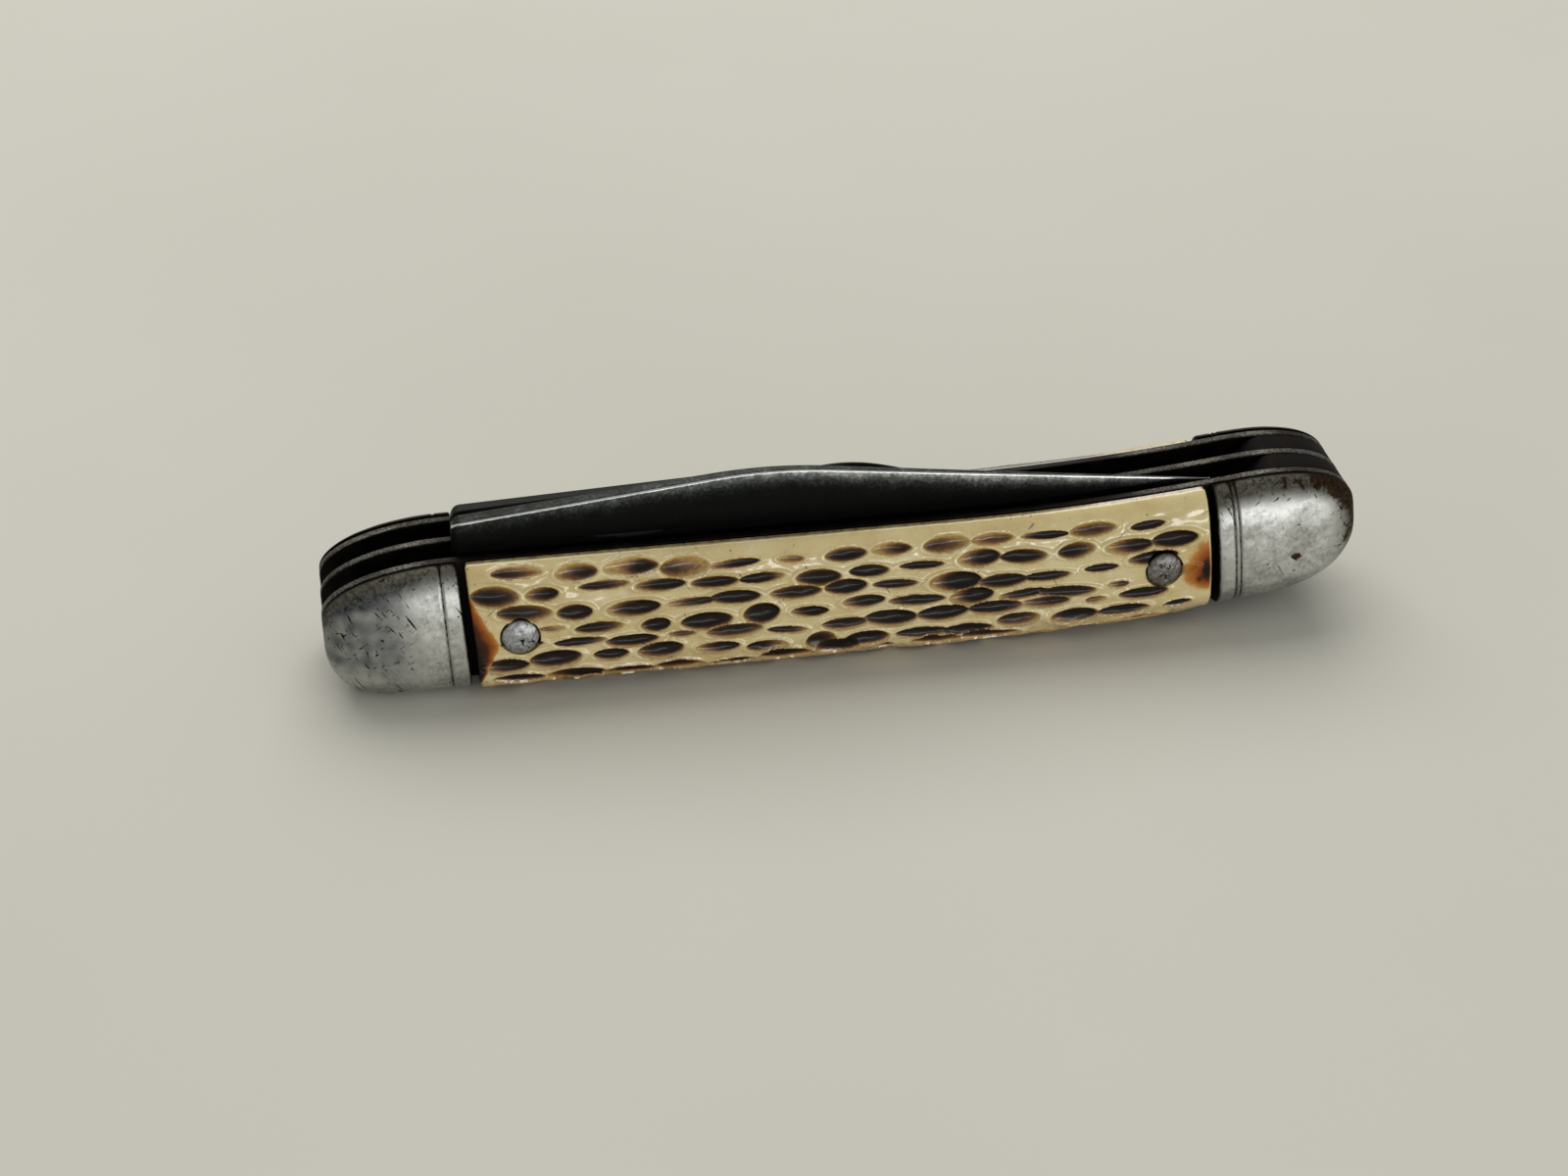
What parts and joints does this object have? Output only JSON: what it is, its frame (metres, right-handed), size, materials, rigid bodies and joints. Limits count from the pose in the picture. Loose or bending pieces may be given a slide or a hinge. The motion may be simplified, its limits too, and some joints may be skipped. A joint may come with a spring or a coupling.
{
  "type": "whittling knife",
  "caption": "Folding whittling knife: a clip-point and a pen blade on one pivot, back springs, swept handle with jigged imitation-bone covers between domed bolsters, closed.",
  "frame": {"origin": "centre of the bounding box in X and Y, at its lowest Z", "axes": "+X from the pivot end to the butt, +Y from the front cover (beside the long blade) to the rear cover, +Z from the back with the springs up to the slots that the blades fold into"},
  "size_m": [0.0866, 0.0128, 0.0168],
  "materials": {
    "liner_steel": "dark aged steel with worn edges",
    "spring_steel": "dark spring steel with brown rust",
    "blade_steel": "satin steel under a nearly black patina",
    "bolster_metal": "worn nickel plate, satin to bright, scratched",
    "imitation_bone": "cream plastic, semi-gloss, jigged and stained dark brown",
    "rivet_metal": "worn nickel silver"
  },
  "bodies": {
    "handle": {"front_liner": "liner_steel", "centre_liner": "liner_steel", "rear_liner": "liner_steel", "main_spring": "spring_steel", "pen_spring": "spring_steel", "pivot_pin": "spring_steel", "spring_pin": "spring_steel", "butt_pin": "spring_steel", "front_cover": "imitation_bone", "rear_cover": "imitation_bone", "front_pivot_bolster": "bolster_metal", "rear_pivot_bolster": "bolster_metal", "front_butt_bolster": "bolster_metal", "rear_butt_bolster": "bolster_metal", "front_pivot_rivet": "rivet_metal", "front_butt_rivet": "rivet_metal", "rear_pivot_rivet": "rivet_metal", "rear_butt_rivet": "rivet_metal"},
    "main_blade": {"main_blade": "blade_steel"},
    "pen_blade": {"pen_blade": "blade_steel"}
  },
  "joints": [
    {"name": "main_blade_fold", "type": "hinge", "parent": "handle", "child": "main_blade", "pos_m": [-0.03701, -0.0014, 0.0062], "axis": [0, -1, 0], "range_deg": [0, 180], "deforming": ["main_spring"]},
    {"name": "pen_blade_fold", "type": "hinge", "parent": "handle", "child": "pen_blade", "pos_m": [-0.03701, 0.0014, 0.0062], "axis": [0, -1, 0], "range_deg": [0, 180], "deforming": ["pen_spring"]}
  ]
}
